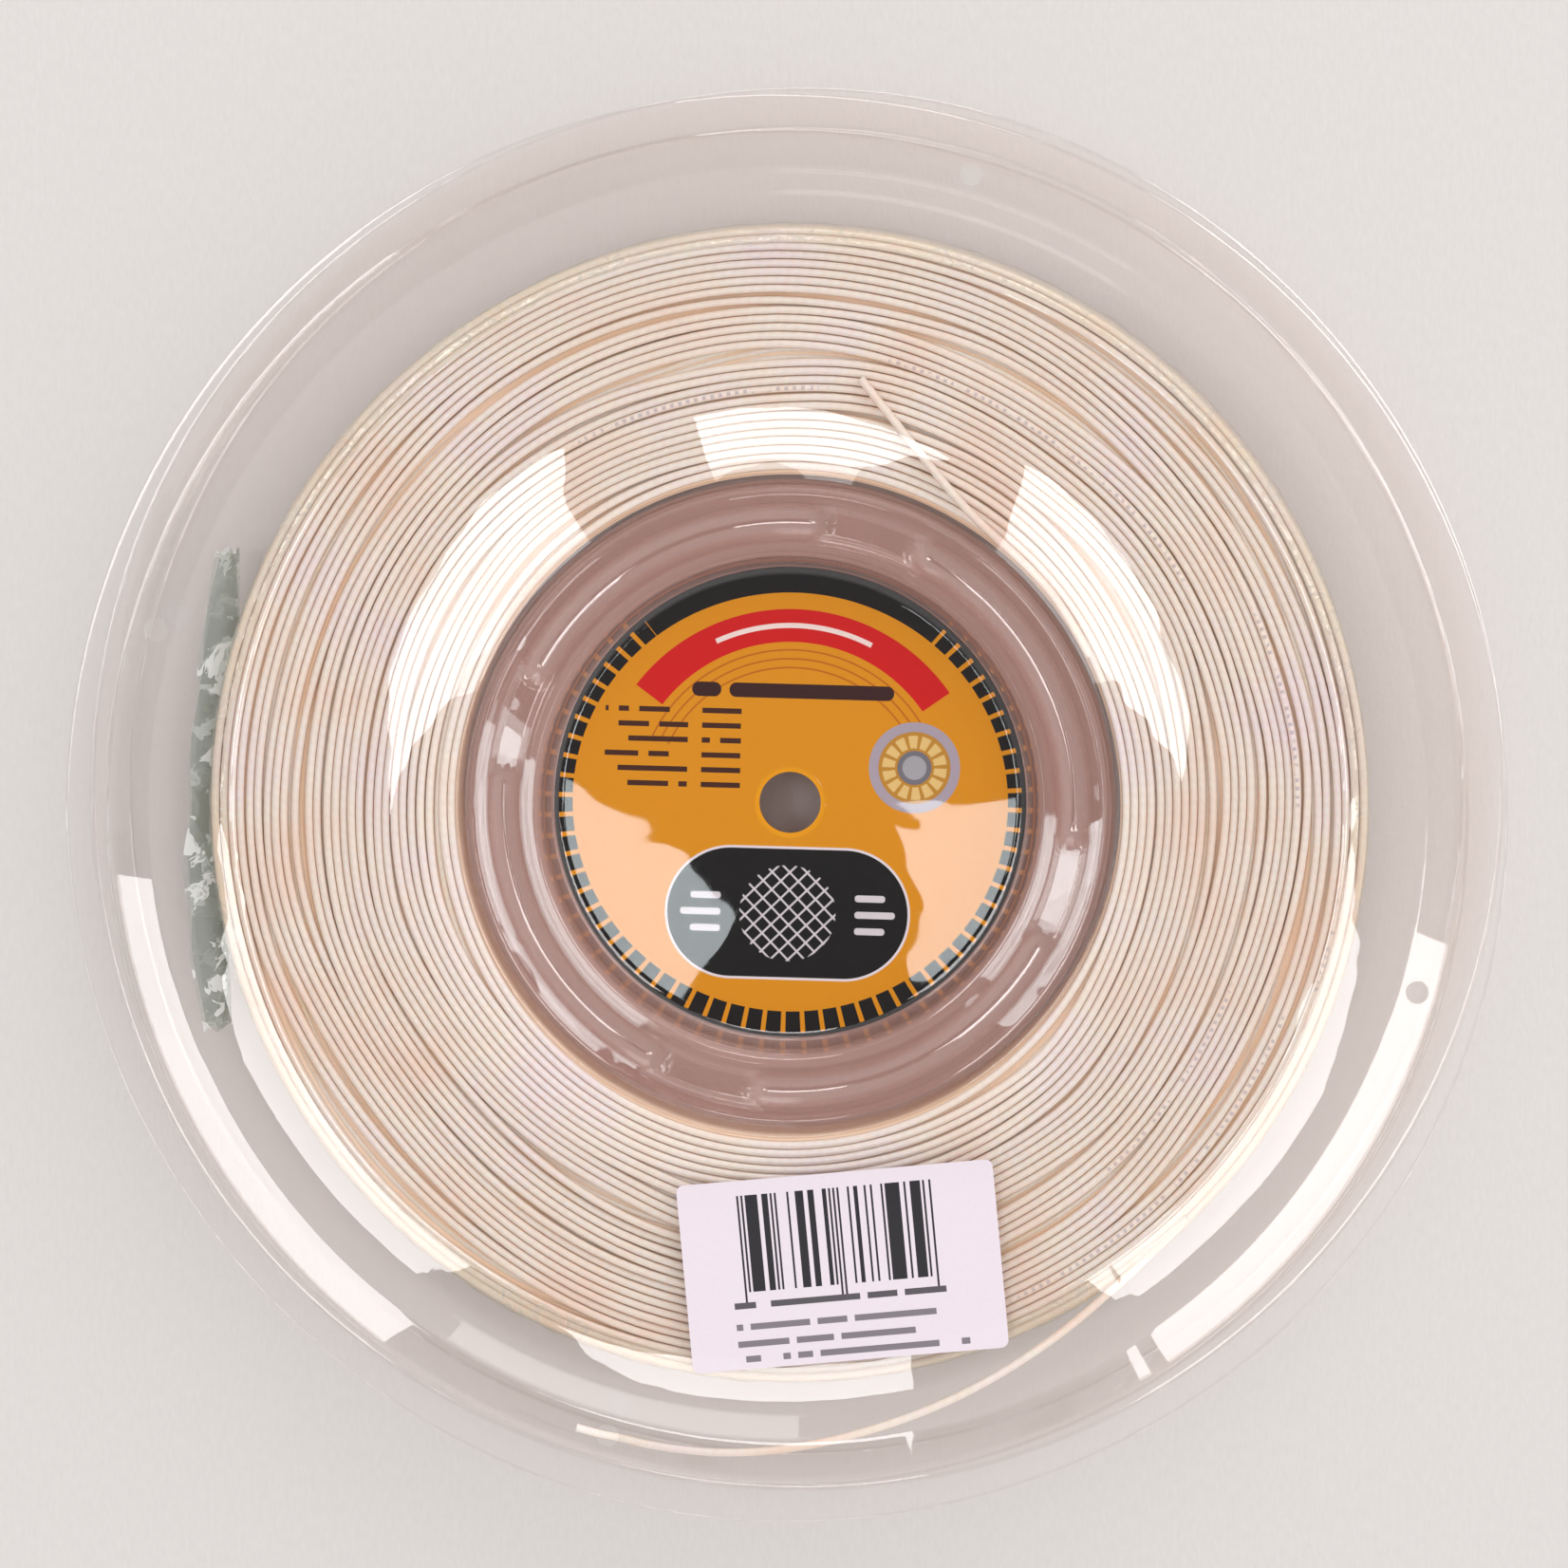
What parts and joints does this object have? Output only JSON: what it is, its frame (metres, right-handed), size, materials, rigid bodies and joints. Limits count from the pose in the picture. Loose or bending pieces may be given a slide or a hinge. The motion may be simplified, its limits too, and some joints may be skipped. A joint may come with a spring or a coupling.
{
  "type": "string reel",
  "caption": "Clear moulded reel for racket string: two nested flanges with a recessed hub, a coil of string between them, a printed hub card and a sticker.",
  "frame": {"origin": "centre of the ring on the back flange's crest, on which the reel lies", "axes": "+Z along the spindle hole towards the front flange, +Y towards the top of the printed card, +X to the right of the card"},
  "size_m": [0.225, 0.225, 0.036],
  "materials": {
    "clear_sheet": "clear, glossy, thermoformed",
    "printed_card": "printed card",
    "string": "pearly, slightly translucent",
    "tinted_film": "crinkled clear film",
    "sticker_paper": "matt label paper"
  },
  "bodies": {
    "root": {"front_shell": "clear_sheet", "back_shell": "clear_sheet", "label_card": "printed_card", "string_core": "string", "string_turns": "string", "string_end": "string", "string_tail": "string", "wrap_film": "tinted_film", "film_strip": "tinted_film", "barcode_sticker": "sticker_paper"}
  },
  "joints": []
}
